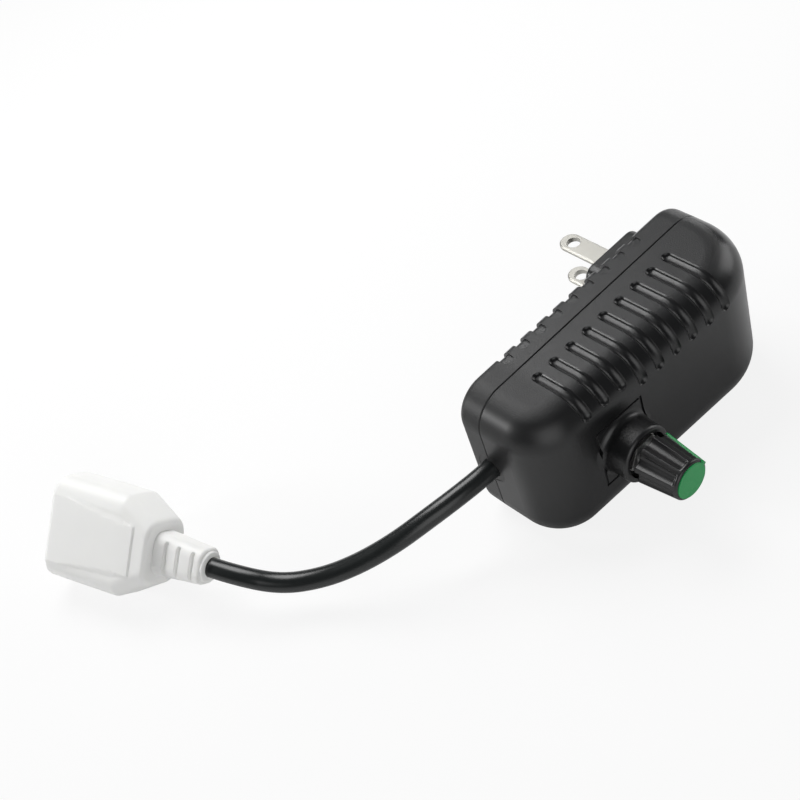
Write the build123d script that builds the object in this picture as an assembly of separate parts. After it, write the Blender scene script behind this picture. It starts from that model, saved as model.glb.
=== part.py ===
from build123d import *
import math
import os

# Plug-in motor speed controller: a moulded two-part case with plug blades on its back, a knob on
# its front and a short output cord that ends in an in-line socket. Millimetres, +Z up. The case
# lies on one long side: its length runs along X, the blades point to +Y and the knob to -Y.
# Every piece except the cord and its socket is modelled about the middle of the case's seam and
# then moved so that the origin is the middle of the footprint.

# Case
case_length = 86.0
case_width = 44.5
front_depth = 23.0
front_tilt = 2.5
back_depth = 8.1
end_lean = 0.6
cord_end_round = 13.2
far_end_round = 20.0
side_round = 9.2
seam_chamfer = 0.25
back_lean = 0.6
back_round = 2.6
back_inner_round = 0.4
wall = 2.2

# Tongue of the back cover that locates it inside the front housing
lip_height = 1.5
lip_root = 1.2
lip_thickness = 1.0
lip_end_gap = 0.2
fit_gap = 0.1

# How far a cut runs past the surface that it opens
overrun = 1.0
far_overrun = 5.0

# Finger grooves on both long sides, and the notches that carry on from them in the cover
groove_count = 9
groove_pitch = 6.08
groove_middle_x = -1.25
groove_width = 3.2
groove_depth = 0.9
groove_start_y = -4.5
groove_end_z = 12.7
groove_end_z_by_knob = 16.0
grooves_by_knob = 3
groove_rod = (groove_width**2 / 4 + groove_depth**2) / (2 * groove_depth)
groove_lift = groove_rod - groove_depth
notch_start_y = 3.2
notch_depth = 0.7

# Panel line round the knob on the front face
panel_length = 16.4
panel_height = 20.2
panel_from_boss = 0.3
panel_line = 0.7
panel_line_depth = 0.4

# Boss that carries the potentiometer
knob_x = -17.25
boss_radius = 8.0
boss_height = 7.75
boss_blend = 1.8
boss_rim = 1.0
nut_pocket_radius = 6.5
nut_pocket_depth = 2.6

# Potentiometer
bush_radius = 3.5
bush_clearance = 0.1
shaft_radius = 3.0
running_clearance = 0.05
pot_radius = 8.0
pot_pad = 0.5
pot_pad_rim = 1.0
plate_thickness = 1.4
wafer_thickness = 1.5
wafer_reach = 9.6
can_depth = 6.6
can_wall = 0.5
wiper_radius = 6.2
wiper_thickness = 1.5
wiper_gap = 0.4
stop_width = 3.0
stop_reach = 0.8
washer_thickness = 0.5
washer_radius = 5.4
nut_thickness = 2.0
nut_across_flats = 10.0
terminal_pitch = 5.0
terminal_width = 1.2
terminal_thickness = 0.6

# Knob
knob_gap = 0.6
knob_height = 13.5
knob_base_radius = 7.0
knob_tip_radius = 5.75
cap_thickness = 0.9
flute_count = 8
flute_radius = 2.47
flute_floor = 5.55
pointer_width = 1.3
pointer_depth = 1.0
pointer_start = 1.0
rest_turn = 25.0
shaft_grip = 10.5

# Plug block and blades, a two-pin plug with flat blades
plug_from_end = 16.75
plug_length = 21.0
plug_width = 20.0
plug_height = 11.4
plug_round = 3.5
plug_wall = 2.0
plug_end_wall = 2.5
plug_end_round = 1.0
blade_from_plug = 1.3
blade_spacing = 12.7
blade_width = 6.35
blade_thickness = 1.5
blade_reach = 16.6
blade_hole_radius = 2.0
blade_hole_from_tip = 4.3
shoulder_width = 9.5
shoulder_length = 2.0
tail_width = 5.0
tail_end_y = 2.0
retainer_thickness = 3.0
pin_radius = 1.0
pin_spacing = 12.0
pin_head_radius = 1.8
pin_head_height = 1.0

# Case screws
case_screw_from_end = 7.0
case_screw_from_side = 7.75
case_screw_length = 14.0
case_boss_radius = 3.2
case_tube_radius = 4.3
screw_radius = 1.45
screw_head_radius = 2.7
screw_head_height = 2.0
screw_hole_radius = 1.7
head_recess_radius = 3.1
head_recess_depth = 4.0
thread_gap = 0.02

# Circuit board
board_from_cord_tail = 3.0
board_from_end = 12.0
board_from_side = 6.25
board_thickness = 1.6
board_front_y = -4.0
post_radius = 2.4
board_screw_radius = 1.0
board_screw_head_radius = 2.0
board_screw_head_height = 1.4
board_screw_length = 8.0

# Parts on the board, each placed from the board's end and edges
sink_from_end = 17.3
sink_length = 23.5
sink_top_gap = 0.8
sink_thickness = 1.5
sink_from_wall = 5.6
triac_from_end = 21.7
triac_width = 7.8
triac_thickness = 2.7
triac_height = 11.0
triac_lift = 2.4
triac_hole_from_top = 3.8
triac_lead_pitch = 2.29
triac_lead_width = 0.8
triac_screw_radius = 1.45
triac_screw_stub = 2.6
triac_screw_head = 1.6
triac_nut_thickness = 2.0
triac_nut_across_flats = 5.0
choke_from_end = 9.4
choke_side_gap = 1.65
choke_radius = 6.5
choke_height = 13.0
choke_flange = 1.6
choke_hub_radius = 3.2
winding_radius = 5.9
capacitor_from_end = 14.2
capacitor_from_edge = 4.6
capacitor_size = (18.0, 15.0, 8.5)
timing_capacitor_x = -6.4
timing_capacitor_from_edge = 3.5
timing_capacitor_size = (7.2, 6.5, 3.0)
fuse_from_end = 30.0
fuse_radius = 2.6
fuse_length = 20.0
fuse_cap_length = 5.0
clip_wall = 0.6
clip_height = 5.6
resistor_x = -16.0
resistor_z = (-7.6, -4.6, -1.6)
resistor_radius = 1.15
resistor_length = 6.3
diac_z = 1.2
diac_radius = 0.9
diac_length = 3.8
lead_radius = 0.35
lead_overhang = 1.6

# Wires inside
wire_radius = 0.9
wire_bend = 2.2
blade_wire_y = 3.5
blade_wire_z = 2.6
conductor_radius = 0.8
conductor_spacing = 2.7
conductor_bend = 1.2
conductor_straight = 3.5
conductor_reach = 8.0
conductor_rise = 4.4
conductor_pad_z = 5.5

# Output cord, its grommet and its clamp
cord_radius = 2.75
cord_start_depth = 4.5
cord_tail_depth = 12.0
grommet_radius = 4.4
grommet_flange_radius = 5.6
grommet_flange = 1.5
grommet_recess = 0.1
saddle_from_end = 8.0
saddle_length = 5.0
saddle_width = 15.6
clamp_thickness = 3.2
clamp_gap = 0.8
clamp_inset = 0.2
clamp_screw_z = 5.2
clamp_screw_length = 10.0

# In-line socket on the cord's far end
socket_height = 28.6
socket_thickness = 17.3
socket_straight = 23.9
socket_shoulder = 9.6
socket_rear_height = 17.4
socket_rear_thickness = 17.0
socket_round = 5.0
socket_mouth_round = 1.2
socket_lean = 46.4
relief_length = 15.9
relief_collar = 1.6
relief_collar_radius = 4.2
relief_base = (12.0, 10.0)
relief_tip = (9.8, 9.0)
relief_round = 3.2
relief_slots = (3.9, 7.9, 12.5)
relief_slot_width = 1.1
relief_slot_depth = 1.0
relief_slot_from_top = 1.6
panel_recess = 0.5
panel_size = (18.6, 21.0)
panel_from_mouth = 2.0
socket_rear_edge = 1.0
insert_size = (19.0, 12.4)
insert_depth = 20.0
insert_round = 3.0
slot_size = (7.2, 2.2)
cavity_size = (8.4, 4.4)
cavity_floor = 3.0
slot_wall = 3.0
contact_thickness = 0.6
contact_width = 6.0
contact_length = 12.0
contact_base = 1.0


def face_y(x, inset=0.0):
    """Where the slightly tilted front face, moved inwards by inset, stands at one place of the length."""
    tilt = math.radians(front_tilt)
    return -front_depth - x * math.tan(tilt) + inset / math.cos(tilt)


# Where the modelling frame sits in the part's frame
boss_top_y = face_y(knob_x) - boss_height
knob_base_y = boss_top_y - knob_gap
knob_tip_y = knob_base_y - knob_height
plug_end_y = back_depth + plug_height
blade_tip_y = plug_end_y + blade_reach
seam_y = round(-(knob_tip_y + blade_tip_y) / 2, 1)
half_width = case_width / 2
to_part_frame = Pos(0, seam_y, half_width)
pot_seat_y = face_y(knob_x, wall) + pot_pad
inner_back_y = back_depth - wall
board_back_y = board_front_y + board_thickness

# Places that follow from the case's ends and sides
case_end_x = case_length / 2
plug_x = case_end_x - plug_from_end
blade_x = plug_x - blade_from_plug
case_screw_x = case_end_x - case_screw_from_end
case_screw_z = half_width - case_screw_from_side
cord_start_x = -case_end_x + cord_start_depth
cord_tail_end_x = -case_end_x + cord_tail_depth
saddle_x = -case_end_x + saddle_from_end
board_start_x = cord_tail_end_x + board_from_cord_tail
board_end_x = case_end_x - board_from_end
board_edge_z = half_width - board_from_side
board_posts = [
    (board_end_x - post_radius, board_edge_z - post_radius - 1.1),
    (board_end_x - post_radius, -board_edge_z + post_radius + 1.1),
    (board_start_x + post_radius, board_edge_z - post_radius),
    (board_start_x + post_radius, -board_edge_z + post_radius),
]
sink_x = board_end_x - sink_from_end
sink_z = -half_width + wall + sink_from_wall
sink_height = board_front_y - face_y(sink_x - sink_length / 2, wall) - sink_top_gap
triac_x = board_end_x - triac_from_end
capacitor_x = board_end_x - capacitor_from_end
capacitor_z = board_edge_z - capacitor_from_edge
choke_x = board_end_x - choke_from_end
choke_z = capacitor_z - capacitor_size[2] / 2 - choke_side_gap - choke_radius
timing_capacitor_z = board_edge_z - timing_capacitor_from_edge
fuse_x = board_end_x - fuse_from_end
conductor_pad_x = cord_tail_end_x + conductor_reach

# The socket leans on one of its long lower edges, which sets the height of its middle line
lean = math.radians(socket_lean)
socket_rest_z = (
    (socket_height / 2 - socket_round) * math.cos(lean)
    + (socket_thickness / 2 - socket_round) * math.sin(lean)
    + socket_round
)

# Route of the cord's middle line in the part's frame, from the case to the socket
cord_route = [
    (cord_start_x, seam_y, half_width),
    (-45.6, seam_y, half_width),
    (-54.6, seam_y + 0.9, half_width),
    (-63.4, seam_y + 3.2, 20.9),
    (-72.7, seam_y + 7.7, 17.0),
    (-81.7, seam_y + 14.1, 12.7),
    (-89.6, seam_y + 21.3, 9.5),
    (-97.4, seam_y + 29.2, 9.8),
    (-103.69, seam_y + 37.59, socket_rest_z),
    (-106.77, seam_y + 46.45, socket_rest_z),
]


def along_y(radius, y_from, y_to, x=0.0, z=0.0):
    """Round bar parallel to Y."""
    bar = Cylinder(radius, abs(y_to - y_from))
    return Pos(x, (y_from + y_to) / 2, z) * Rot(90, 0, 0) * bar


def along_x(radius, x_from, x_to, y=0.0, z=0.0):
    """Round bar parallel to X."""
    return Pos((x_from + x_to) / 2, y, z) * Rot(0, 90, 0) * Cylinder(radius, abs(x_to - x_from))


def along_z(radius, z_from, z_to, x=0.0, y=0.0):
    """Round bar parallel to Z."""
    return Pos(x, y, (z_from + z_to) / 2) * Cylinder(radius, abs(z_to - z_from))


def block(x_from, x_to, y_from, y_to, z_from, z_to):
    """Plain box between two corners."""
    middle = Pos((x_from + x_to) / 2, (y_from + y_to) / 2, (z_from + z_to) / 2)
    return middle * Box(abs(x_to - x_from), abs(y_to - y_from), abs(z_to - z_from))


def facing_back(y, x=0.0):
    """Sketch plane square to Y whose extrusions run to +Y."""
    return Plane(origin=(x, y, 0), x_dir=(1, 0, 0), z_dir=(0, 1, 0))


def save(shape, node):
    """Write one node in the part's frame."""
    export_step(to_part_frame * shape, f"parts/{node}.step")


def save_placed(shape, node):
    """Write a node that is modelled in the part's frame already."""
    export_step(shape, f"parts/{node}.step")


# The case
def front_block(inset):
    """Solid inside the front housing's outer skin moved inwards by inset."""
    lean_rise = math.tan(math.radians(end_lean))
    tilt_rise = math.tan(math.radians(front_tilt))
    seam_x = case_length / 2 - inset / math.cos(math.radians(end_lean))
    middle_y = face_y(0, inset)

    # The tilted face meets each leaning end
    cord_corner_y = (middle_y + tilt_rise * seam_x) / (1 - tilt_rise * lean_rise)
    far_corner_y = (middle_y - tilt_rise * seam_x) / (1 + tilt_rise * lean_rise)
    cord_corner = (-seam_x - cord_corner_y * lean_rise, cord_corner_y)
    far_corner = (seam_x + far_corner_y * lean_rise, far_corner_y)
    profile = make_face(Polyline((-seam_x, 0), cord_corner, far_corner, (seam_x, 0), close=True))
    profile = fillet(profile.vertices().sort_by(Axis.Y)[0], far_end_round - inset)
    cord_vertex = min((v for v in profile.vertices() if v.X < 0), key=lambda v: v.Y)
    profile = fillet(cord_vertex, cord_end_round - inset)
    solid = extrude(profile, half_width - inset, both=True)
    rims = [e for e in solid.edges() if abs(e.center().Z) > half_width - inset - 0.01 and e.center().Y < -0.01]
    return fillet(rims, side_round - inset)


def back_block(inset):
    """Solid inside the back cover's outer skin moved inwards by inset."""
    plan = facing_back(0) * RectangleRounded(
        case_length - 2 * inset, case_width - 2 * inset, side_round - inset
    )
    solid = extrude(plan, back_depth - inset, taper=back_lean)
    rim = solid.faces().sort_by(Axis.Y)[-1].edges()
    return fillet(rim, max(back_round - inset, back_inner_round))


groove_xs = [groove_middle_x + groove_pitch * (i - (groove_count - 1) / 2) for i in range(groove_count)]


def side_groove(x):
    """Straight groove on the side wall that stops where the long edge begins to round."""
    start_y = groove_start_y - groove_width / 2
    end_y = face_y(x) + side_round + groove_width / 2
    z = half_width + groove_lift
    cutter = along_y(groove_rod, end_y, start_y, x, z)
    for y in (start_y, end_y):
        cutter += Pos(x, y, z) * Sphere(groove_rod)
    return cutter


def edge_groove(x, end_z):
    """Round-bottomed groove down the side wall and round the long edge onto the front face."""
    start_y = groove_start_y - groove_width / 2
    turn_y = face_y(x) + side_round
    turn_z = half_width - side_round
    reach = side_round + groove_lift
    z = half_width + groove_lift
    turn = math.acos((end_z + groove_width / 2 - turn_z) / reach)
    section = Plane(origin=(x, turn_y, z), x_dir=(1, 0, 0), z_dir=(0, -1, 0)) * Circle(groove_rod)
    cutter = along_y(groove_rod, turn_y, start_y, x, z)
    cutter += revolve(section, Axis((x, turn_y, turn_z), (1, 0, 0)), math.degrees(turn))
    cutter += Pos(x, start_y, z) * Sphere(groove_rod)
    end_y = turn_y - reach * math.sin(turn)
    return cutter + Pos(x, end_y, turn_z + reach * math.cos(turn)) * Sphere(groove_rod)


def make_boss():
    """Round boss with a rounded rim that stands on the front face."""
    boss = along_y(boss_radius, boss_top_y, face_y(knob_x, wall), knob_x)
    rim = boss.edges().sort_by(Axis.Y)[0]
    return fillet(rim, boss_rim)


def on_boss_foot(edge):
    """Whether an edge is the line where the boss meets the tilted face."""
    for share in (0, 0.3, 0.6, 0.9):
        point = edge @ share
        off_axis = math.hypot(point.X - knob_x, point.Z)
        if abs(off_axis - boss_radius) > 0.05 or abs(point.Y - face_y(point.X)) > 0.05:
            return False
    return True


def make_front_housing():
    skin = front_block(0)
    skin = chamfer(skin.faces().sort_by(Axis.Y)[-1].edges(), seam_chamfer)
    solid = skin + make_boss()
    solid = fillet([e for e in solid.edges() if on_boss_foot(e)], boss_blend)
    hollow = front_block(wall)
    shell = solid - hollow

    # Screw bosses, board posts and the cord's saddle stand on the inner skin
    room = front_block(wall / 2)
    deep_y = face_y(case_length)
    posts = along_y(pot_radius + pot_pad_rim, deep_y, pot_seat_y, knob_x)
    for x in (-case_screw_x, case_screw_x):
        for z in (-case_screw_z, case_screw_z):
            posts += along_y(case_boss_radius, deep_y, 0, x, z)
    for x, z in board_posts:
        posts += along_y(post_radius, deep_y, board_front_y, x, z)
    saddle_top = -clamp_gap / 2
    posts += block(
        saddle_x - saddle_length / 2,
        saddle_x + saddle_length / 2,
        deep_y,
        saddle_top,
        -saddle_width / 2,
        saddle_width / 2,
    )
    shell += posts & room

    # Pilot holes
    for x in (-case_screw_x, case_screw_x):
        for z in (-case_screw_z, case_screw_z):
            shell -= along_y(screw_radius + thread_gap, -case_screw_length, 0, x, z)
    for x, z in board_posts:
        bottom = board_back_y - board_screw_length - 0.5
        shell -= along_y(board_screw_radius + thread_gap, bottom, board_front_y, x, z)
    for z in (-clamp_screw_z, clamp_screw_z):
        bottom = clamp_gap / 2 + clamp_thickness - clamp_screw_length - 0.5
        shell -= along_y(screw_radius + thread_gap, bottom, saddle_top, saddle_x, z)

    # Cord way, bush hole and nut pocket
    shell -= along_x(grommet_radius + fit_gap / 2, -case_length, -case_length / 2 + 2 * wall)
    shell -= along_x(cord_radius + thread_gap, saddle_x - saddle_length, saddle_x + saddle_length)
    seat_x = -case_length / 2 + wall
    shell -= along_x(grommet_flange_radius + fit_gap, seat_x, seat_x + 2 * grommet_flange)
    shell -= along_y(bush_radius + bush_clearance, boss_top_y - overrun, pot_seat_y + overrun, knob_x)
    shell -= along_y(nut_pocket_radius, boss_top_y - overrun, boss_top_y + nut_pocket_depth, knob_x)

    # Finger grooves
    for i, x in enumerate(groove_xs):
        end_z = groove_end_z_by_knob if i < grooves_by_knob else groove_end_z
        shell -= edge_groove(x, end_z)
        shell -= mirror(side_groove(x), Plane.XY)

    # Panel line round the boss
    frame = facing_back(face_y(knob_x) - overrun, knob_x) * (
        Rectangle(panel_length, panel_height)
        - Rectangle(panel_length - 2 * panel_line, panel_height - 2 * panel_line)
    )
    line = extrude(frame, 3) - front_block(panel_line_depth)
    line -= along_y(boss_radius + panel_from_boss, boss_top_y, 0, knob_x)
    return shell - line


def make_back_cover():
    skin = back_block(0)
    skin = chamfer(skin.faces().sort_by(Axis.Y)[0].edges(), seam_chamfer)
    plug = extrude(
        facing_back(inner_back_y, plug_x) * RectangleRounded(plug_length, plug_width, plug_round),
        plug_end_y - inner_back_y,
    )
    plug = fillet(plug.faces().sort_by(Axis.Y)[-1].edges(), plug_end_round)
    solid = skin + plug
    shell = solid - back_block(wall)
    shell -= extrude(
        facing_back(0, plug_x)
        * RectangleRounded(plug_length - 2 * plug_wall, plug_width - 2 * plug_wall, plug_round - plug_wall),
        plug_end_y - plug_end_wall,
    )

    # Tongue inside the front housing's rim
    inset = wall + fit_gap
    core = inset + lip_thickness
    inner = RectangleRounded(
        case_length - 2 * (core + lip_end_gap), case_width - 2 * core, side_round - core
    )
    free = RectangleRounded(
        case_length - 2 * (inset + lip_end_gap), case_width - 2 * inset, side_round - inset
    )
    tongue = extrude(facing_back(-lip_height) * (free - inner), lip_height)

    # Above the seam it is one with the wall
    root = RectangleRounded(case_length - wall, case_width - wall, side_round - wall / 2)
    tongue += extrude(facing_back(0) * (root - inner), lip_root)
    tongue -= block(
        -case_length,
        cord_tail_end_x,
        -lip_height - overrun,
        0,
        -grommet_flange_radius - overrun,
        grommet_flange_radius + overrun,
    )
    shell += tongue

    # Screw tubes with sunk head recesses
    for x in (-case_screw_x, case_screw_x):
        for z in (-case_screw_z, case_screw_z):
            shell += along_y(case_tube_radius, 0, inner_back_y + wall / 2, x, z)
    for x in (-case_screw_x, case_screw_x):
        for z in (-case_screw_z, case_screw_z):
            shell -= along_y(screw_hole_radius, -lip_height - overrun, back_depth + overrun, x, z)
            shell -= along_y(head_recess_radius, back_depth - head_recess_depth, back_depth + overrun, x, z)
            shell -= along_y(case_boss_radius + 0.15, -lip_height - overrun, 0, x, z)

    # Blade slots and the pins that the retainer is riveted on
    end_inside = plug_end_y - plug_end_wall
    for z in (-blade_spacing / 2, blade_spacing / 2):
        half_x = blade_width / 2 + fit_gap / 2
        half_z = blade_thickness / 2 + fit_gap / 2
        shell -= block(blade_x - half_x, blade_x + half_x, end_inside - overrun, plug_end_y + overrun, z - half_z, z + half_z)
    retainer_back_y = end_inside - shoulder_length - retainer_thickness
    for x in (plug_x - pin_spacing / 2, plug_x + pin_spacing / 2):
        shell += along_y(pin_radius, retainer_back_y, end_inside + 0.5, x)
        shell += along_y(pin_head_radius, retainer_back_y - pin_head_height, retainer_back_y, x)

    # Cord way
    shell -= along_x(grommet_radius + fit_gap / 2, -case_length, -case_length / 2 + 1.5 * wall)
    seat_x = -case_length / 2 + wall
    shell -= along_x(grommet_flange_radius + fit_gap, seat_x, seat_x + 2 * grommet_flange)

    # Notches in line with the finger grooves
    core = back_block(notch_depth)
    for x in groove_xs:
        radius = groove_width / 2
        near_z = half_width - back_round - far_overrun
        far_z = half_width + overrun
        far_y = back_depth + overrun
        cutter = block(x - radius, x + radius, notch_start_y + radius, far_y, near_z, far_z)
        cutter += along_z(radius, near_z, far_z, x, notch_start_y + radius)
        cutter -= core
        shell -= cutter
        shell -= mirror(cutter, Plane.XY)
    return shell


def pan_screw(radius, length, head_radius, head_height):
    """Screw along Y with its head above y = 0 and its tip at y = -length."""
    screw = along_y(radius, -length, 0) + along_y(head_radius, 0, head_height)
    top = screw.edges().sort_by(Axis.Y)[-1]
    screw = fillet(top, head_height * 0.4)
    cross = Box(head_radius * 1.1, head_height, head_radius * 0.25)
    cross += Rot(0, 90, 0) * Box(head_radius * 1.1, head_height, head_radius * 0.25)
    return screw - Pos(0, head_height, 0) * cross


def make_case_screws():
    seat_y = back_depth - head_recess_depth
    screw = pan_screw(screw_radius, case_screw_length, screw_head_radius, screw_head_height)
    spots = [(x, z) for x in (-case_screw_x, case_screw_x) for z in (-case_screw_z, case_screw_z)]
    return Compound([Pos(x, seat_y, z) * screw for x, z in spots])


def make_board_screws():
    screw = pan_screw(board_screw_radius, board_screw_length, board_screw_head_radius, board_screw_head_height)
    return Compound([Pos(x, board_back_y, z) * screw for x, z in board_posts])


def make_clamp_screws():
    seat_y = clamp_gap / 2 + clamp_thickness
    screw = pan_screw(screw_radius, clamp_screw_length, screw_head_radius - 0.2, screw_head_height * 0.75)
    return Compound([Pos(saddle_x, seat_y, z) * screw for z in (-clamp_screw_z, clamp_screw_z)])


# Plug blades
def make_blade(z):
    """Flat blade with a half-round tip, a hole near it, a shoulder and a solder tail."""
    half = blade_width / 2
    shoulder_y = plug_end_y - plug_end_wall
    outline = Rectangle(blade_width, blade_tip_y - half - shoulder_y, align=(Align.CENTER, Align.MIN))
    outline += Pos(0, blade_tip_y - half - shoulder_y) * Circle(half)
    outline += Pos(0, -shoulder_length) * Rectangle(shoulder_width, shoulder_length, align=(Align.CENTER, Align.MIN))
    tail_length = shoulder_y - shoulder_length - tail_end_y
    outline += Pos(0, -shoulder_length - tail_length) * Rectangle(
        tail_width, tail_length, align=(Align.CENTER, Align.MIN)
    )
    outline -= Pos(0, blade_tip_y - shoulder_y - blade_hole_from_tip) * Circle(blade_hole_radius)
    blade = extrude(outline, blade_thickness / 2, both=True)
    tip_rims = [
        e
        for e in blade.edges().filter_by(GeomType.CIRCLE)
        if abs(e.radius - half) < 0.01 and abs(abs(e.center().Z) - blade_thickness / 2) < 0.01
    ]
    blade = chamfer(tip_rims, 0.4)
    return Pos(blade_x, shoulder_y, z) * blade


def make_retainer():
    """Insulating plate that holds the blades' shoulders against the plug block's end wall."""
    top_y = plug_end_y - plug_end_wall - shoulder_length
    plan = RectangleRounded(
        plug_length - 2 * plug_wall - 2 * fit_gap,
        plug_width - 2 * plug_wall - 2 * fit_gap,
        plug_round - plug_wall,
    )
    plate = extrude(facing_back(top_y - retainer_thickness, plug_x) * plan, retainer_thickness)
    for z in (-blade_spacing / 2, blade_spacing / 2):
        half_x = tail_width / 2 + fit_gap / 2
        half_z = blade_thickness / 2 + fit_gap / 2
        plate -= block(blade_x - half_x, blade_x + half_x, 0, top_y + overrun, z - half_z, z + half_z)
    for x in (plug_x - pin_spacing / 2, plug_x + pin_spacing / 2):
        plate -= along_y(pin_radius + fit_gap / 2, 0, top_y + overrun, x)
    return plate


# Potentiometer, from the front wall inwards
plate_back_y = pot_seat_y + plate_thickness
wafer_back_y = plate_back_y + wafer_thickness
can_back_y = wafer_back_y + can_depth
wiper_front_y = wafer_back_y + wiper_gap
nut_seat_y = boss_top_y + nut_pocket_depth


def make_pot_bushing():
    bushing = along_y(pot_radius, pot_seat_y, plate_back_y, knob_x)
    bushing += along_y(bush_radius, boss_top_y + 0.2, pot_seat_y, knob_x)
    return bushing - along_y(shaft_radius + running_clearance, boss_top_y - overrun, plate_back_y + overrun, knob_x)


def make_pot_wafer():
    half_width_x = terminal_pitch + terminal_width + 0.2
    wafer = along_y(pot_radius, plate_back_y, wafer_back_y, knob_x)
    wafer += block(knob_x - half_width_x, knob_x + half_width_x, plate_back_y, wafer_back_y, 0, wafer_reach)
    return wafer - along_y(shaft_radius + 0.5, plate_back_y - overrun, wafer_back_y + overrun, knob_x)


def make_pot_terminals():
    strips = []
    bend_z = pot_radius + 0.3
    leg_z = wafer_reach + 0.7
    for i in (-1, 0, 1):
        x = knob_x + i * terminal_pitch
        half = terminal_width / 2
        foot = block(x - half, x + half, wafer_back_y, wafer_back_y + terminal_thickness, bend_z, leg_z)
        leg = block(x - half, x + half, wafer_back_y, board_back_y + 0.6, leg_z, leg_z + terminal_thickness)
        strips.append(foot + leg)
    return Compound(strips)


def make_pot_can():
    can = along_y(pot_radius, wafer_back_y, can_back_y, knob_x)
    can = fillet(can.edges().sort_by(Axis.Y)[-1], can_wall)
    can -= along_y(pot_radius - can_wall, wafer_back_y - overrun, can_back_y - can_wall, knob_x)
    inner = wiper_radius + 0.3
    stop = block(
        knob_x - pot_radius + can_wall / 2,
        knob_x - inner,
        wafer_back_y,
        wiper_front_y + wiper_thickness + 0.5,
        -stop_width / 2,
        stop_width / 2,
    )
    return can + stop


def turned(shape):
    """Turn a piece that points to +X at mid travel to where it points at rest."""
    about_shaft = Axis((knob_x, 0, 0), (0, -1, 0))
    return shape.rotate(about_shaft, rest_turn)


def make_pot_wiper():
    wiper = along_y(wiper_radius, wiper_front_y, wiper_front_y + wiper_thickness, knob_x)
    wiper += block(
        knob_x + wiper_radius - 1,
        knob_x + wiper_radius + stop_reach,
        wiper_front_y,
        wiper_front_y + wiper_thickness,
        -stop_width / 2,
        stop_width / 2,
    )
    return turned(wiper - along_y(shaft_radius, wiper_front_y - overrun, wiper_front_y + far_overrun, knob_x))


shaft_end_y = knob_base_y - shaft_grip
flat_depth = 1.0


def make_pot_shaft():
    shaft = along_y(shaft_radius, shaft_end_y, wiper_front_y + wiper_thickness, knob_x)
    flat = block(
        knob_x - shaft_radius - overrun,
        knob_x - shaft_radius + flat_depth,
        shaft_end_y - overrun,
        knob_base_y,
        -shaft_radius,
        shaft_radius,
    )
    return turned(shaft - flat)


def make_pot_washer():
    ring = along_y(washer_radius, nut_seat_y - washer_thickness, nut_seat_y, knob_x)
    return ring - along_y(bush_radius + thread_gap, boss_top_y - overrun, nut_seat_y + overrun, knob_x)


def make_pot_nut():
    washer_y = nut_seat_y - washer_thickness
    plan = facing_back(washer_y - nut_thickness, knob_x) * RegularPolygon(
        nut_across_flats / 2, 6, major_radius=False
    )
    nut = extrude(plan, nut_thickness)
    return nut - along_y(bush_radius + thread_gap, boss_top_y - overrun, washer_y + overrun, knob_x)


# Knob
def knob_envelope(y_from, y_to):
    """Tapered bar with shallow flutes that run parallel to its axis, between two heights of the knob."""
    slope = (knob_base_radius - knob_tip_radius) / knob_height
    radii = [knob_base_radius - slope * (knob_base_y - y) for y in (y_from, y_to)]
    bar = Pos(knob_x, (y_from + y_to) / 2, 0) * Rot(90, 0, 0) * Cone(radii[0], radii[1], abs(y_to - y_from))
    for i in range(flute_count):
        angle = math.radians(360 * (i + 0.5) / flute_count)
        x = knob_x + (flute_floor + flute_radius) * math.cos(angle)
        z = (flute_floor + flute_radius) * math.sin(angle)
        bar -= along_y(flute_radius, y_from + overrun, y_to - overrun, x, z)
    return bar


def pointer_slot():
    """Box that cuts the pointer's bar out of the knob's side, at mid travel on the +X side."""
    slope = math.degrees(math.atan((knob_base_radius - knob_tip_radius) / knob_height))
    length = knob_height - pointer_start + 2 * overrun
    bar = Box(knob_base_radius, length, pointer_width, align=(Align.MIN, Align.MAX, Align.CENTER))
    floor_x = knob_base_radius - pointer_depth
    return Pos(knob_x + floor_x, knob_base_y - pointer_start, 0) * Rot(0, 0, -slope) * bar


def make_knob_body():
    body = knob_envelope(knob_base_y, knob_tip_y + cap_thickness)
    bore = along_y(shaft_radius + thread_gap, shaft_end_y - 0.2, knob_base_y + overrun, knob_x)
    flat = block(
        knob_x - shaft_radius - overrun,
        knob_x - shaft_radius + flat_depth - thread_gap,
        shaft_end_y - overrun,
        knob_base_y + 2,
        -shaft_radius - overrun,
        shaft_radius + overrun,
    )
    return turned(body - (bore - flat) - pointer_slot())


def make_knob_cap():
    disc = knob_envelope(knob_tip_y + cap_thickness, knob_tip_y)
    bar = knob_envelope(knob_base_y, knob_tip_y + cap_thickness) & pointer_slot()
    return turned(disc + bar)


# Circuit board and what stands on it
def make_board():
    board = block(board_start_x, board_end_x, board_front_y, board_back_y, -board_edge_z, board_edge_z)
    for x, z in board_posts:
        board -= along_y(board_screw_radius + 0.2, board_front_y - overrun, board_back_y + overrun, x, z)
    for i in (-1, 0, 1):
        x = knob_x + i * terminal_pitch
        z = wafer_reach + 0.7 + terminal_thickness / 2
        board -= along_y(terminal_width / 2 + 0.2, board_front_y - overrun, board_back_y + overrun, x, z)
    return board


triac_top_y = board_front_y - triac_lift - triac_height
triac_hole_y = triac_top_y + triac_hole_from_top


def make_heatsink():
    """Aluminium plate that stands on edge on the board, along the case's lower side."""
    half = sink_length / 2
    z_in = sink_z + sink_thickness / 2
    z_out = sink_z - sink_thickness / 2
    plate = block(sink_x - half, sink_x + half, board_front_y - sink_height, board_front_y, z_out, z_in)
    return plate - along_z(triac_screw_radius + fit_gap, z_out - overrun, z_in + overrun, triac_x, triac_hole_y)


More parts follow.
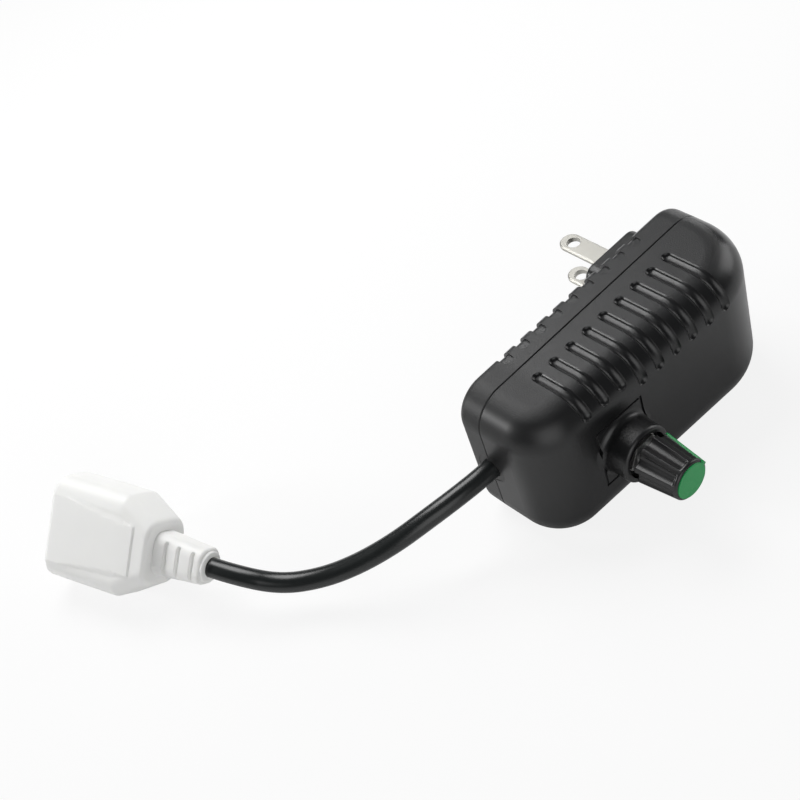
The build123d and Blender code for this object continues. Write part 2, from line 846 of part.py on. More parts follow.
def make_triac():
    """Flat package with a hole through it, on three leads."""
    z_back = sink_z + sink_thickness / 2
    z_front = z_back + triac_thickness
    half = triac_width / 2
    bottom = board_front_y - triac_lift
    triac = block(triac_x - half, triac_x + half, triac_top_y, bottom, z_back, z_front)
    triac -= along_z(triac_screw_radius + fit_gap, z_back - overrun, z_front + overrun, triac_x, triac_hole_y)
    z = (z_back + z_front) / 2
    half_lead = triac_lead_width / 2
    for i in (-1, 0, 1):
        x = triac_x + i * triac_lead_pitch
        triac += block(
            x - half_lead, x + half_lead, bottom - fit_gap, board_front_y, z - half_lead / 2, z + half_lead / 2
        )
    return triac


def make_triac_screw():
    z_tip = sink_z + sink_thickness / 2 + triac_thickness + triac_screw_stub
    z_head = sink_z - sink_thickness / 2
    screw = along_z(triac_screw_radius, z_head, z_tip, triac_x, triac_hole_y)
    return screw + along_z(screw_head_radius, z_head - triac_screw_head, z_head, triac_x, triac_hole_y)


def make_triac_nut():
    z_face = sink_z + sink_thickness / 2 + triac_thickness
    hexagon = RegularPolygon(triac_nut_across_flats / 2, 6, major_radius=False)
    nut = extrude(Pos(triac_x, triac_hole_y, z_face) * hexagon, triac_nut_thickness)
    bore_end = z_face + triac_nut_thickness + overrun
    return nut - along_z(triac_screw_radius + thread_gap, z_face - overrun, bore_end, triac_x, triac_hole_y)


def make_choke_core():
    top = board_front_y - choke_height
    core = along_y(choke_hub_radius, top, board_front_y, choke_x, choke_z)
    core += along_y(choke_radius, board_front_y - choke_flange, board_front_y, choke_x, choke_z)
    return core + along_y(choke_radius, top, top + choke_flange, choke_x, choke_z)


def make_choke_winding():
    top = board_front_y - choke_height + choke_flange
    bottom = board_front_y - choke_flange
    winding = along_y(winding_radius, top, bottom, choke_x, choke_z)
    return winding - along_y(choke_hub_radius, top - overrun, bottom + overrun, choke_x, choke_z)


def standing_box(size, x, z, edge):
    """Moulded box component that stands on the board's front."""
    length, height, width = size
    solid = Pos(x, board_front_y - height / 2, z) * Box(length, height, width)
    return fillet(solid.edges().filter_by(Axis.Y), edge)


fuse_y = board_front_y - clip_wall - fuse_radius


def make_fuse():
    fuse = along_z(fuse_radius - 0.3, -fuse_length / 2, fuse_length / 2, fuse_x, fuse_y)
    for end in (-1, 1):
        near = end * (fuse_length / 2 - fuse_cap_length)
        fuse += along_z(fuse_radius, near, end * fuse_length / 2, fuse_x, fuse_y)
    return fuse


def make_fuse_clips():
    clips = []
    for end in (-1, 1):
        z_near = end * (fuse_length / 2 - fuse_cap_length + 0.6)
        z_far = end * (fuse_length / 2 - 0.6)
        half = fuse_radius + clip_wall
        low, high = sorted((z_near, z_far))
        clip = block(fuse_x - half, fuse_x + half, board_front_y - clip_height, board_front_y, low, high)
        clip -= along_z(fuse_radius + thread_gap, low - overrun, high + overrun, fuse_x, fuse_y)
        gap = fuse_radius * 0.7
        clip -= block(fuse_x - gap, fuse_x + gap, board_front_y - clip_height - overrun, fuse_y, low - overrun, high + overrun)
        clips.append(clip)
    return Compound(clips)


def axial_part(x, z, length, radius):
    """Small round component lying on the board between its two bent leads."""
    y = board_front_y - radius
    reach = length / 2 + lead_overhang
    part = along_x(radius, x - length / 2, x + length / 2, y, z)
    part += along_x(lead_radius, x - reach, x + reach, y, z)
    for end in (-reach, reach):
        part += along_y(lead_radius, y, board_front_y, x + end, z)
        part += Pos(x + end, y, z) * Sphere(lead_radius)
    return part


def make_resistors():
    return Compound([axial_part(resistor_x, z, resistor_length, resistor_radius) for z in resistor_z])


# Wires and the cord's inner end
def wire(points, radius, bend):
    """Round wire along straight runs joined by equal arcs."""
    path = FilletPolyline(*points, radius=bend)
    start = Plane(origin=path @ 0, z_dir=path % 0)
    return sweep(start * Circle(radius), path=path)


def make_blade_wires():
    wires = []
    for side in (-1, 1):
        face_z = side * (blade_spacing - blade_thickness) / 2
        points = [
            (blade_x, blade_wire_y, face_z),
            (blade_x, blade_wire_y, side * blade_wire_z),
            (blade_x, board_back_y, side * blade_wire_z),
        ]
        wires.append(wire(points, wire_radius, wire_bend))
    return Compound(wires)


def make_conductors():
    wires = []
    for side in (-1, 1):
        z = side * conductor_spacing / 2
        points = [
            (cord_tail_end_x, 0, z),
            (cord_tail_end_x + conductor_straight, 0, z),
            (conductor_pad_x, board_back_y + conductor_rise, side * conductor_pad_z),
            (conductor_pad_x, board_back_y, side * conductor_pad_z),
        ]
        wires.append(wire(points, conductor_radius, conductor_bend))
    return Compound(wires)


def make_cord_tail():
    return along_x(cord_radius, cord_start_x, cord_tail_end_x)


def make_grommet():
    flange_x = -case_length / 2 + wall + fit_gap
    neck = along_x(grommet_radius, -case_length / 2 + grommet_recess, flange_x)
    flange = along_x(grommet_flange_radius, flange_x, flange_x + grommet_flange)
    bore = along_x(cord_radius + running_clearance, -case_length, case_length)
    return neck + flange - bore


def make_cord_clamp():
    half = saddle_length / 2 - clamp_inset
    width = saddle_width / 2 - clamp_inset
    bottom = clamp_gap / 2
    bar = block(saddle_x - half, saddle_x + half, bottom, bottom + clamp_thickness, -width, width)
    bar -= along_x(cord_radius + thread_gap, saddle_x - half - overrun, saddle_x + half + overrun)
    for z in (-clamp_screw_z, clamp_screw_z):
        bar -= along_y(screw_hole_radius, bottom - overrun, bottom + clamp_thickness + overrun, saddle_x, z)
    return bar


# The free cord
def route_radii(points):
    """One radius for each corner: 0.45 of the shorter run over the tangent of half the turn."""
    radii = []
    for before, corner, after in zip(points, points[1:], points[2:]):
        first = Vector(*corner) - Vector(*before)
        second = Vector(*after) - Vector(*corner)
        half_turn = math.radians(first.get_angle(second) / 2)
        radii.append(0.45 * min(first.length, second.length) / math.tan(half_turn))
    return radii


def make_cord():
    radii = route_radii(cord_route)
    path = FilletPolyline(*cord_route, radius=radii)
    start = Plane(origin=path @ 0, z_dir=path % 0)
    tube = sweep(start * Circle(cord_radius), path=path)
    print("cord radii", [round(r, 1) for r in radii])
    print("cord length", round(path.length, 1))
    print("cord volume", round(tube.volume, 1), "section times length", end=" ")
    print(round(math.pi * cord_radius**2 * path.length, 1))
    return tube


# The in-line socket, modelled along Z from the cord's end and then laid in its place
def socket_plane():
    """Plane at the cord's end: Z along the cord, X across the thin side and Y down the high side."""
    end = Vector(*cord_route[-1])
    axis = (end - Vector(*cord_route[-2])).normalized()
    level = Vector(axis.Y, -axis.X, 0)
    across = level * math.cos(lean) - Vector(0, 0, 1) * math.sin(lean)
    return Plane(origin=end, x_dir=across, z_dir=axis)


def socket_section(thickness, height, corner, z):
    """Rounded rectangle square to the socket's middle line."""
    return Plane.XY.offset(z) * RectangleRounded(thickness, height, corner)


socket_end = relief_length + socket_shoulder + socket_straight


def make_socket_shell():
    rear = socket_section(socket_rear_thickness, socket_rear_height, socket_round, relief_length)
    shoulder_z = relief_length + socket_shoulder
    waist = socket_section(socket_thickness, socket_height, socket_round, shoulder_z)
    mouth = socket_section(socket_thickness, socket_height, socket_round, socket_end)
    shell = loft([rear, waist], ruled=True) + loft([waist, mouth], ruled=True)
    shell = fillet(shell.faces().sort_by(Axis.Z)[-1].edges(), socket_mouth_round)
    shell = fillet(shell.faces().sort_by(Axis.Z)[0].edges(), socket_rear_edge)
    height, length = panel_size
    recess = Pos(-socket_thickness / 2, 0, socket_end - panel_from_mouth - length / 2) * Box(2 * panel_recess, height, length)
    pocket = extrude(
        Plane.XY.offset(socket_end) * RectangleRounded(insert_size[1], insert_size[0], insert_round),
        -insert_depth,
    )
    return shell - recess - pocket


def make_socket_insert():
    plan = RectangleRounded(insert_size[1] - fit_gap, insert_size[0] - fit_gap, insert_round)
    insert = extrude(Plane.XY.offset(socket_end) * plan, -insert_depth)
    for y in (-blade_spacing / 2, blade_spacing / 2):
        slot = Pos(0, y, socket_end) * Box(slot_size[0], slot_size[1], 2 * slot_wall)
        cavity_top = socket_end - slot_wall
        depth = insert_depth - slot_wall - cavity_floor
        cavity = Pos(0, y, cavity_top - depth / 2) * Box(cavity_size[0], cavity_size[1], depth)
        insert -= slot + cavity
    return insert


def make_socket_contacts():
    """Two folded brass springs, open toward the slots, each on its cavity's floor."""
    contacts = []
    floor_z = socket_end - insert_depth + cavity_floor
    for y in (-blade_spacing / 2, blade_spacing / 2):
        half = blade_thickness / 2 + 0.1
        base = Pos(0, y, floor_z + contact_base / 2) * Box(
            contact_width, 2 * (half + contact_thickness), contact_base
        )
        leaves = base
        for side in (-1, 1):
            offset = side * (half + contact_thickness / 2)
            middle = floor_z + contact_length / 2
            leaves += Pos(0, y + offset, middle) * Box(contact_width, contact_thickness, contact_length)
        contacts.append(leaves)
    return Compound(contacts)


def make_socket_relief():
    """Strain relief: a tapering body with slots across its broad sides and a round collar."""
    body_start = relief_collar / 2
    tip = socket_section(relief_tip[1], relief_tip[0], relief_round, body_start)
    base = socket_section(relief_base[1], relief_base[0], relief_round, relief_length)
    relief = loft([tip, base], ruled=True)
    relief += extrude(Circle(relief_collar_radius), relief_collar)
    for from_shell in relief_slots:
        z = relief_length - from_shell
        share = (z - body_start) / (relief_length - body_start)
        half_high = (relief_tip[0] + (relief_base[0] - relief_tip[0]) * share) / 2
        half_thick = (relief_tip[1] + (relief_base[1] - relief_tip[1]) * share) / 2
        top = -half_high + relief_slot_from_top
        high = half_high + overrun - top
        for side in (-1, 1):
            slot = Box(2 * relief_slot_depth, high, relief_slot_width)
            relief -= Pos(side * half_thick, top + high / 2, z) * slot
    return relief


os.makedirs("parts", exist_ok=True)

save(make_front_housing(), "front_housing")
save(make_back_cover(), "back_cover")
save(make_case_screws(), "case_screws")
save(make_blade(blade_spacing / 2), "blade_upper")
save(make_blade(-blade_spacing / 2), "blade_lower")
save(make_retainer(), "blade_retainer")
save(make_blade_wires(), "blade_wires")

save(make_pot_bushing(), "pot_bushing")
save(make_pot_wafer(), "pot_wafer")
save(make_pot_terminals(), "pot_terminals")
save(make_pot_can(), "pot_can")
save(make_pot_wiper(), "pot_wiper")
save(make_pot_shaft(), "pot_shaft")
save(make_pot_washer(), "pot_washer")
save(make_pot_nut(), "pot_nut")
save(make_knob_body(), "knob_body")
save(make_knob_cap(), "knob_cap")

save(make_board(), "circuit_board")
save(make_board_screws(), "board_screws")
save(make_heatsink(), "heatsink")
save(make_triac(), "triac")
save(make_triac_screw(), "triac_screw")
save(make_triac_nut(), "triac_nut")
save(make_choke_core(), "choke_core")
save(make_choke_winding(), "choke_winding")
save(standing_box(capacitor_size, capacitor_x, capacitor_z, 0.6), "line_capacitor")
save(
    standing_box(timing_capacitor_size, timing_capacitor_x, timing_capacitor_z, 0.5), "timing_capacitor"
)
save(make_fuse(), "fuse")
save(make_fuse_clips(), "fuse_clips")
save(make_resistors(), "resistors")
save(axial_part(resistor_x, diac_z, diac_length, diac_radius), "diac")

save(make_conductors(), "cord_conductors")
save(make_cord_tail(), "cord_tail")
save(make_grommet(), "cord_grommet")
save(make_cord_clamp(), "cord_clamp")
save(make_clamp_screws(), "clamp_screws")
save_placed(make_cord(), "cord")

lay = socket_plane()
save_placed(lay.location * make_socket_shell(), "socket_shell")
save_placed(lay.location * make_socket_insert(), "socket_insert")
save_placed(lay.location * make_socket_contacts(), "socket_contacts")
save_placed(lay.location * make_socket_relief(), "socket_relief")
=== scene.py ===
# %% [markdown]
# # A plug-in motor speed controller, dressed for a product picture
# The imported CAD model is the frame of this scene: every piece is already where it belongs, in
# metres. This file gives the pieces their finishes, makes the soft and softly moulded ones again
# as finer surfaces, and sets up the floor, the light and the camera. The sizes of new pieces are
# written in millimetres, as on a drawing, and one factor brings them to metres.

# %% Load the frame
import math
import bpy
import numpy as np
from mathutils import Matrix, Vector


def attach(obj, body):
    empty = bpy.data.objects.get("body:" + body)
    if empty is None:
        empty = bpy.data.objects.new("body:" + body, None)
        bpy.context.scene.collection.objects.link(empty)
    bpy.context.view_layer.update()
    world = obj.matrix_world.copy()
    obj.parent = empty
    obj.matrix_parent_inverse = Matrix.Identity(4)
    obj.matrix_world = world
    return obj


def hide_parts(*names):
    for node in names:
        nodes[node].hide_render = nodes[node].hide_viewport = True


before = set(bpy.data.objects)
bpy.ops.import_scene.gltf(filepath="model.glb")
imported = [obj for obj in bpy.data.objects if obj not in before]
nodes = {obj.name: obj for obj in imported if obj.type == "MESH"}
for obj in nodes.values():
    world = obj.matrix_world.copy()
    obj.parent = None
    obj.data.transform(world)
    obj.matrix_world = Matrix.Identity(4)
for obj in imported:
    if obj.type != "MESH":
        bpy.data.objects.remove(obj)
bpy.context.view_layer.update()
print("CAD nodes:", len(nodes))

MM = 0.001


def add_object(name, data):
    """A new object in the scene, at the origin, that holds a mesh, curve, camera or lamp."""
    added = bpy.data.objects.new(name, data)
    bpy.context.scene.collection.objects.link(added)
    return added


# %% [markdown]
# ## Where the camera stands
# The photograph was taken from above and in front, with the case running up to the right. A camera
# could be set by eye, but then every edge lands a little beside its place. This view was found by
# matching the case, the blades and the knob: the angles below turn a level camera about the
# vertical, tip it down and roll it, and the lens is a short telephoto.

# %% The camera
PICTURE_SIDE = 800
FOCAL_PIXELS = 1500.0
SENSOR = 36.0
view_turn, view_tip, view_roll = np.radians([-27.1, 45.77, -21.89])
camera_place = Vector((-169.55, -210.0, 312.65)) * MM

ahead = Vector((
    -math.sin(view_turn) * math.cos(view_tip),
    math.cos(view_turn) * math.cos(view_tip),
    -math.sin(view_tip),
))
level_right = Vector((math.cos(view_turn), math.sin(view_turn), 0.0))
level_up = level_right.cross(ahead)
right = level_right * math.cos(view_roll) + level_up * math.sin(view_roll)
up = level_up * math.cos(view_roll) - level_right * math.sin(view_roll)

camera_data = bpy.data.cameras.new("camera")
camera_data.sensor_width = SENSOR
camera_data.lens = FOCAL_PIXELS / PICTURE_SIDE * SENSOR
camera_data.clip_start = 0.01
camera_data.clip_end = 50.0
camera = add_object("camera", camera_data)
camera_turn = Matrix((right, up, -ahead)).transposed()
camera.matrix_world = Matrix.Translation(camera_place) @ camera_turn.to_4x4()
bpy.context.scene.camera = camera
print("camera looks along", [round(v, 3) for v in ahead], "lens", camera_data.lens)


# %% [markdown]
# ## The free cord
# The real cord is a round two-core lead, 5.5 mm thick and about 91 mm long between the case and
# the socket. It could be a chain of straight pieces and arcs, but their joins show as kinks in the
# highlight. A NURBS spline through a few given control points bends like a real lead,
# because its curvature changes smoothly, and a bevel gives it its round section.

# %% The cord's route and its spline
CORD_RADIUS = 2.75
CORD_END_Z = 12.9
SOCKET_PITCH_DROP = 0.22
cord_route = np.array([
    (-38.5, 4.0, 22.25),
    (-45.6, 4.0, 22.25),
    (-54.6, 4.9, 22.25),
    (-63.4, 7.2, 20.9),
    (-72.7, 11.7, 17.0),
    (-81.7, 18.1, 12.7),
    (-89.6, 25.3, 9.5),
    (-97.4, 33.2, 9.0),
    (-103.69, 41.59, CORD_END_Z - SOCKET_PITCH_DROP),
    (-106.77, 50.45, CORD_END_Z),
]) * MM

cord_curve = bpy.data.curves.new("output_cord", "CURVE")
cord_curve.dimensions = "3D"
cord_curve.bevel_depth = CORD_RADIUS * MM
cord_curve.bevel_resolution = 10
cord_curve.resolution_u = 32
cord_spline = cord_curve.splines.new("NURBS")
cord_spline.points.add(len(cord_route) - 1)
cord_spline.points.foreach_set("co", np.c_[cord_route, np.ones(len(cord_route))].ravel())
cord_spline.order_u = 3
cord_spline.use_endpoint_u = True
cord = add_object("output_cord", cord_curve)
print("cord control points:", len(cord_route))


# %% [markdown]
# ## From a grid of points to a mesh
# Every new surface below is a whole numpy array of points, one row for each step along the piece
# and one column for each step round it. Faces could be listed by hand in a loop, but whole arrays
# are shorter and faster. One helper joins neighbouring points into four-sided faces; the columns
# close on themselves, and each end row is closed by a fan. The other helpers are the small
# formulas that shape the grids.

# %% A tube of rings becomes a closed mesh
def closed_tube(name, rings):
    """Mesh of stacked rings. rings has the shape (rows, columns, 3): the columns run round the
    piece and close, the rows run along it, and each end is fanned to its own middle point."""
    rows, columns, _ = rings.shape
    index = np.arange(rows * columns).reshape(rows, columns)
    after = np.roll(index, -1, axis=1)
    quads = np.stack([index[:-1], after[:-1], after[1:], index[1:]], axis=-1).reshape(-1, 4)
    middle = np.full(columns, rows * columns)
    first_fan = np.stack([middle, after[0], index[0]], axis=-1)
    last_fan = np.stack([index[-1], after[-1], middle + 1], axis=-1)
    points = np.concatenate([rings.reshape(-1, 3), rings[[0, -1]].mean(axis=1)])
    faces = quads.tolist() + first_fan.tolist() + last_fan.tolist()
    mesh = bpy.data.meshes.new(name)
    mesh.from_pydata(points.tolist(), [], faces)
    mesh.update()
    mesh.polygons.foreach_set("use_smooth", np.ones(len(mesh.polygons), bool))
    print(name, "faces:", len(faces))
    return add_object(name, mesh)


# %% The formulas that shape the grids
EDGE_STEPS = 9


def blend(start, end, share):
    """The value that lies a share of the way from start to end: start + (end - start) share."""
    return start + (end - start) * share


def smooth_step(value, low, high):
    """0 below low, 1 above high, and an S-shaped rise between: t * t * (3 - 2 t)."""
    t = np.clip((value - low) / (high - low), 0.0, 1.0)
    return t * t * (3.0 - 2.0 * t)


def soft_min(first, second, width):
    """The smaller of two values, with the change from one to the other rounded over width. With
    s = 1/2 + (first - second) / (2 width), held between 0 and 1, it is the blend of the two by s,
    less width s (1 - s)."""
    share = np.clip(0.5 + 0.5 * (first - second) / width, 0.0, 1.0)
    return blend(first, second, share) - width * share * (1.0 - share)


def round_edge(radius):
    """Quarter circle between a flat end and a side, in steps from the end, with t from 0 to 90
    degrees: r (1 - cos t) away from the end, and r (1 - sin t) in from the side."""
    t = np.linspace(0.0, 0.5 * np.pi, EDGE_STEPS)
    return radius * np.stack([1 - np.cos(t), 1 - np.sin(t)])


def rounded_rings(width, height, corner, stations, per_corner, per_side):
    """Rings of rounded rectangles. width, height and corner are arrays, one value a station.
    Each corner is a quarter circle about (half width - corner, half height - corner), and each
    side is the straight line between two of them, with its points crowded toward the corners by
    a cosine, so that an edge there can be crisp."""
    quarter = np.linspace(0.0, 0.5 * np.pi, per_corner)
    angles = np.concatenate([quarter + k * 0.5 * np.pi for k in range(4)])
    signs_x = np.repeat([1, -1, -1, 1], per_corner)
    signs_y = np.repeat([1, 1, -1, -1], per_corner)
    x = signs_x * (width[:, None] / 2 - corner[:, None]) + corner[:, None] * np.cos(angles)
    y = signs_y * (height[:, None] / 2 - corner[:, None]) + corner[:, None] * np.sin(angles)
    corners = np.stack([x, y], axis=-1).reshape(len(width), 4, per_corner, 2)
    share = 0.5 - 0.5 * np.cos(np.linspace(0.0, np.pi, per_side + 2))[1:-1, None]
    sides = blend(corners[:, :, -1:, :], np.roll(corners, -1, axis=1)[:, :, :1, :], share)
    flat = np.concatenate([corners, sides], axis=2).reshape(len(width), -1, 2)
    z = np.broadcast_to(stations[:, None, None], flat.shape[:2] + (1,))
    return np.concatenate([flat, z], axis=-1)


print("a 1 mm edge starts", round_edge(1.0)[:, 0], "and ends", round_edge(1.0)[:, -1])


# %% [markdown]
# ## The in-line socket
# The socket is one soft white moulding: a box with round edges, a shoulder that slopes down to a
# lower rear end, and a shallow raised panel on its broad side. A box with bevels would do for the
# straight part, but at the shoulder bevels of this size meet badly. A loft of rounded rectangles
# has the whole shape: its width, height and corner radius change along the piece.

# %% Where the socket lies
# It continues the cord's end, and leans until one long lower edge is on the table
SOCKET_LEAN = math.radians(46.4)
socket_axis = cord_route[-1] - cord_route[-2]
socket_axis = socket_axis / np.linalg.norm(socket_axis)
sideways = np.array([socket_axis[1], -socket_axis[0], 0.0])
sideways = sideways / np.linalg.norm(sideways)
upward = np.cross(sideways, socket_axis)
across = sideways * math.cos(SOCKET_LEAN) - upward * math.sin(SOCKET_LEAN)
down_side = np.cross(socket_axis, across)
socket_turn = np.stack([across, down_side, socket_axis])


def laid(points_mm):
    """Points of the socket's own frame, in mm, put where the socket lies, in metres: the cord's
    end, plus x times across, y times down_side and z times socket_axis."""
    return cord_route[-1] + points_mm @ socket_turn * MM


print("socket points along", socket_axis.round(3))

# %% The socket's shell
RELIEF_LENGTH = 15.9
SHOULDER = 9.6
SHOULDER_BLEND = 0.06
STRAIGHT = 23.9
SOCKET_END = RELIEF_LENGTH + SHOULDER + STRAIGHT
SOCKET_SIZE = (17.3, 28.6)
SOCKET_REAR = (17.0, 17.4)
SOCKET_ROUND = 5.0
REAR_EDGE = 1.0
MOUTH_EDGE = 1.2
LONG_STEPS = 160

# Stations along the shell: rounded rear edge, shoulder, straight part, rounded mouth edge
rear_z, rear_in = round_edge(REAR_EDGE)
mouth_z, mouth_in = round_edge(MOUTH_EDGE)[:, ::-1]
body_z = np.linspace(RELIEF_LENGTH + REAR_EDGE, SOCKET_END - MOUTH_EDGE, LONG_STEPS)[1:-1]
stations = np.concatenate([RELIEF_LENGTH + rear_z, body_z, SOCKET_END - mouth_z])
inset = np.concatenate([rear_in, np.zeros(len(body_z)), mouth_in])
shoulder_share = soft_min((stations - RELIEF_LENGTH) / SHOULDER, 1.0, SHOULDER_BLEND)
shell_width, shell_height = (
    blend(rear, front, shoulder_share) - 2 * inset
    for rear, front in zip(SOCKET_REAR, SOCKET_SIZE)
)
outer_rings = rounded_rings(
    shell_width, shell_height, SOCKET_ROUND - 0.5 * inset, stations, per_corner=12, per_side=24
)
print("socket length", SOCKET_END - RELIEF_LENGTH, "mm")

# %% The raised panel on the shell's broad side
# At the mouth it is a little wider than the flat of the side. It narrows toward the cord, and
# ends in a small step there
PANEL_RISE = 0.35
PANEL_LENGTH = 29.0
PANEL_HALF_MOUTH = 10.2
PANEL_HALF_REAR = 7.1
PANEL_SIDE_STEP = 0.4
PANEL_REAR_STEP = 0.25
BROAD_SIDE_SHARE = 0.4
from_mouth = SOCKET_END - outer_rings[..., 2]
panel_half = blend(PANEL_HALF_MOUTH, PANEL_HALF_REAR, from_mouth / PANEL_LENGTH)
panel_mask = (
    (outer_rings[..., 0] < -BROAD_SIDE_SHARE * SOCKET_SIZE[0])
    * smooth_step(panel_half - np.abs(outer_rings[..., 1]), 0.0, PANEL_SIDE_STEP)
    * smooth_step(PANEL_LENGTH - from_mouth, 0.0, PANEL_REAR_STEP)
)
outer_rings[..., 0] -= PANEL_RISE * panel_mask
print("share of the shell's points on the panel:", round(float(panel_mask.mean()), 3))

# %% The pocket in the shell's mouth
# The mouth turns in to the pocket that holds the insulating insert
POCKET = (12.4, 19.0)
POCKET_ROUND = 3.0
POCKET_DEPTH = 6.0
POCKET_CHAMFER = 0.4
pocket_z = SOCKET_END - np.array([0.0, POCKET_CHAMFER, POCKET_DEPTH])
pocket_opens = 2 * POCKET_CHAMFER * np.array([1.0, 0.0, 0.0])
pocket_corner = np.full(3, POCKET_ROUND)
pocket_rings = rounded_rings(
    POCKET[0] + pocket_opens, POCKET[1] + pocket_opens, pocket_corner, pocket_z,
    per_corner=12, per_side=24,
)
shell_rings = np.concatenate([outer_rings, pocket_rings])
socket_shell = closed_tube("white_socket_shell", laid(shell_rings))


# %% [markdown]
# ## The slotted strain relief
# Behind the socket the same white plastic grips the cord. It is a short tapered block with three
# slots across each broad side, so that it bends with the cord, and it ends in a round collar. Cut
# with boxes, the slots would have hard edges. Here they are made by holding the points there to a
# smaller half width, through a mask whose edges are soft.

# %% The relief
RELIEF_BASE = (10.0, 12.0)
RELIEF_TIP = (9.0, 9.8)
RELIEF_ROUND = 3.2
TIP_EDGE = 0.7
COLLAR_SIZE = 8.4
COLLAR_ROUND = 4.0
COLLAR_LENGTH = 0.8
COLLAR_EDGE = 0.3
COLLAR_EDGE_MIDDLE = 0.08

# Stations: the collar with its rounded end, the tip's rounded edge, the tapered body
collar_z = np.array([0.0, COLLAR_EDGE_MIDDLE, COLLAR_EDGE, COLLAR_LENGTH])
collar_in = np.array([COLLAR_EDGE, COLLAR_EDGE_MIDDLE, 0.0, 0.0])
tip_z, tip_in = round_edge(TIP_EDGE)
long_z = np.linspace(COLLAR_LENGTH + TIP_EDGE, RELIEF_LENGTH, LONG_STEPS)[1:]
taper_z = np.concatenate([COLLAR_LENGTH + tip_z, long_z])
taper_in = np.concatenate([tip_in, np.zeros(len(long_z))])
taper = (taper_z - COLLAR_LENGTH) / (RELIEF_LENGTH - COLLAR_LENGTH)
relief_width, relief_height = (
    np.concatenate([COLLAR_SIZE - 2 * collar_in, blend(tip, base, taper) - 2 * taper_in])
    for tip, base in zip(RELIEF_TIP, RELIEF_BASE)
)
relief_round = np.concatenate([COLLAR_ROUND - collar_in, RELIEF_ROUND - taper_in])
relief_z = np.concatenate([collar_z, taper_z])
relief_rings = rounded_rings(
    relief_width, relief_height, relief_round, relief_z, per_corner=12, per_side=14
)
print("relief tapers from", RELIEF_BASE, "to", RELIEF_TIP, "mm")

# %% The relief's slots
SLOTS_FROM_SHELL = np.array([3.9, 7.9, 12.5])
SLOT_WIDTH = 1.1
SLOT_DEPTH = 1.0
SLOT_FROM_TOP = 1.6
SLOT_EDGE = 0.12
SLOT_END_EDGE = 0.15
from_slot = np.abs(relief_rings[..., 2:] - (RELIEF_LENGTH - SLOTS_FROM_SHELL)).min(axis=-1)
below_top = relief_rings[..., 1] + relief_height[:, None] / 2
slot_mask = (
    smooth_step(0.5 * SLOT_WIDTH - from_slot, -SLOT_EDGE, SLOT_EDGE)
    * smooth_step(below_top - SLOT_FROM_TOP, -SLOT_END_EDGE, SLOT_END_EDGE)
)
slot_floor = relief_width[:, None] / 2 - SLOT_DEPTH * slot_mask
relief_rings[..., 0] = np.clip(relief_rings[..., 0], -slot_floor, slot_floor)
socket_relief = closed_tube("white_cord_relief", laid(relief_rings))


# %% [markdown]
# ## The knob
# The knob is a tapered black moulding with eight wide flutes between narrow ridges, which carry
# the highlights. The flutes are open at the base, narrow with the knob and run out just below its
# rounded tip, where a green disc is set in. Eight cylinders could cut the flutes, as in the solid,
# but their edges would be sharp. Here the radius round the knob is the smaller of the plain circle
# and the near side of the flute's circle, blended over a short distance, so that each ridge has
# round edges.

# %% The fluted outline
KNOB_X = -17.25
KNOB_BASE_Y = -26.597
KNOB_Z = 22.25
KNOB_HEIGHT = 13.5
KNOB_BASE_RADIUS = 7.0
KNOB_TIP_RADIUS = 5.55
FLUTES = 8
FLUTE_RADIUS = 2.6
FLUTE_DEPTH = 1.2
RIDGE_ROUND = 0.14
RIDGE_TURN = math.radians(27.0)
COLUMNS_PER_FLUTE = 48
knob_columns = FLUTES * COLUMNS_PER_FLUTE
knob_angle = np.arange(knob_columns) * 2 * np.pi / knob_columns


def fluted_share(angle):
    """Radius of the fluted knob at an angle, as a share of its plain radius: a soft minimum of
    the circle and of the flute circle's near side, c cos(a) - sqrt(r^2 - c^2 sin^2(a))."""
    step = 2 * np.pi / FLUTES
    local = (angle % step) - step / 2
    centre = KNOB_BASE_RADIUS - FLUTE_DEPTH + FLUTE_RADIUS
    inside = FLUTE_RADIUS**2 - (centre * np.sin(local)) ** 2
    reach = centre * np.cos(local) - np.sqrt(np.maximum(inside, 0.0))
    reach = np.where(inside > 0, reach, centre)
    return soft_min(KNOB_BASE_RADIUS, reach, RIDGE_ROUND) / KNOB_BASE_RADIUS


def flank_radius(height):
    """The knob's plain radius falls evenly from base to tip."""
    return blend(KNOB_BASE_RADIUS, KNOB_TIP_RADIUS, height / KNOB_HEIGHT)


def knob_points(radius, height, fluting):
    """Points round the knob's axis, x = X + r cos(a), z = Z + r sin(a), y = base - height. Each
    row has its plain radius, its height and its amount of fluting, from 0 for a plain circle to 1
    for the whole fluted outline."""
    share = blend(1.0, fluted_share(knob_angle)[None, :], fluting[:, None])
    r = radius[:, None] * share
    around = knob_angle + RIDGE_TURN
    x = KNOB_X + r * np.cos(around)
    z = KNOB_Z + r * np.sin(around)
    y = np.broadcast_to((KNOB_BASE_Y - height)[:, None], r.shape)
    return np.stack([x, y, z], axis=-1) * MM


print("deepest flute:", round(KNOB_BASE_RADIUS * (1 - fluted_share(knob_angle).min()), 2), "mm")

# %% The knob's body and its bore
KNOB_START = 1.0
BASE_MIDDLE_RADIUS = 5.0
BASE_FACE_RADIUS = 6.65
BASE_EDGE_RADIUS = 6.85
BASE_EDGE_HEIGHT = 0.08
FLANK_START = KNOB_START + 0.3
FLANK_ROWS = 60
BORE_DEPTH = 10.6
BORE_RADIUS = 3.02
NEAR_AXIS = 0.01
FLUTE_RUNOUT = 0.8
FLUTE_END_BELOW_TIP = 0.2
TIP_ROUND = 0.65
CAP_THICKNESS = 0.9
CAP_RADIUS = 4.95
CAP_PROUD = 0.35
SEAT_MIDDLE_RADIUS = 1.0
cap_floor = KNOB_HEIGHT - CAP_THICKNESS
land = KNOB_HEIGHT - CAP_PROUD
flank_top = land - TIP_ROUND

